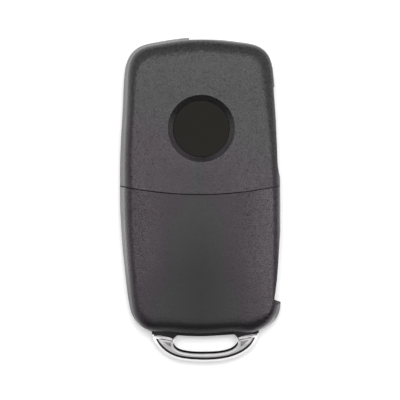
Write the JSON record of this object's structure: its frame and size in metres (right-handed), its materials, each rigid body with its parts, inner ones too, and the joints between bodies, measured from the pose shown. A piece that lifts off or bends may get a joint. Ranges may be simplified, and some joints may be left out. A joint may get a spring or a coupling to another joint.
{
  "type": "car remote key with fold-out blade",
  "caption": "Folding car remote key: grained plastic case in two units, steel blade that swings out of the side, push buttons, round badge recess and plated key-ring loop.",
  "frame": {"origin": "centre of the bounding box on the front (button) face, which the key lies on", "axes": "+Z from the front face to the back face, +Y to the end with the blade pivot, +X to the side where the folded blade lies"},
  "size_m": [0.035, 0.0706, 0.0146],
  "materials": {
    "case_plastic": "fine grained, matte",
    "badge_black": "smooth, glossy",
    "screw_steel": "zinc plated",
    "epoxy_black": "moulded",
    "carrier_metal": "satin nickel plated",
    "blade_steel": "brushed, nickel plated",
    "spring_steel": "oiled",
    "plated": "bright plated",
    "board_green": "solder mask",
    "seal_rubber": "matte",
    "dome_metal": "bright",
    "ferrite": "sintered",
    "led_red": "clear red",
    "window_red": "smooth",
    "cell_metal": "brushed",
    "contact_brass": "plated",
    "button_plastic": "satin"
  },
  "bodies": {
    "head": {"head_back_shell": "case_plastic", "head_front_shell": "case_plastic", "badge_disc": "badge_black", "head_screw": "screw_steel", "transponder_chip": "epoxy_black", "flip_spring": "spring_steel"},
    "blade": {"blade_carrier": "carrier_metal", "key_blade": "blade_steel", "blade_pin": "screw_steel"},
    "release": {"release_button": "plated"},
    "remote": {"remote_back_shell": "case_plastic", "remote_front_shell": "case_plastic", "keyring_loop": "plated", "circuit_board": "board_green", "keypad_seal": "seal_rubber", "lock_switch": "dome_metal", "unlock_switch": "dome_metal", "trunk_switch": "dome_metal", "status_led": "led_red", "led_window": "window_red", "radio_chip": "epoxy_black", "quartz_crystal": "dome_metal", "antenna_coil": "ferrite", "coin_cell": "cell_metal", "cell_contact_plus": "contact_brass", "cell_contact_minus": "contact_brass"},
    "lock": {"lock_button": "button_plastic"},
    "unlock": {"unlock_button": "button_plastic"},
    "trunk": {"trunk_button": "button_plastic"}
  },
  "joints": [
    {"name": "blade_flip", "type": "hinge", "parent": "head", "child": "blade", "pos_m": [0.007, 0.0253, 0.0073], "axis": [0, 0, 1], "range_deg": [0, 180]},
    {"name": "release_press", "type": "slide", "parent": "head", "child": "release", "axis": [0, 0, 1], "range_m": [0, 0.0015], "stiffness_N_per_m": 500, "deforming": ["flip_spring"]},
    {"name": "remote_slide", "type": "slide", "parent": "head", "child": "remote", "axis": [0, -1, 0], "range_m": [0, 0.012]},
    {"name": "lock_press", "type": "slide", "parent": "remote", "child": "lock", "axis": [0, 0, 1], "range_m": [0, 0.0005], "stiffness_N_per_m": 800},
    {"name": "unlock_press", "type": "slide", "parent": "remote", "child": "unlock", "axis": [0, 0, 1], "range_m": [0, 0.0005], "stiffness_N_per_m": 800},
    {"name": "trunk_press", "type": "slide", "parent": "remote", "child": "trunk", "axis": [0, 0, 1], "range_m": [0, 0.0005], "stiffness_N_per_m": 800}
  ]
}
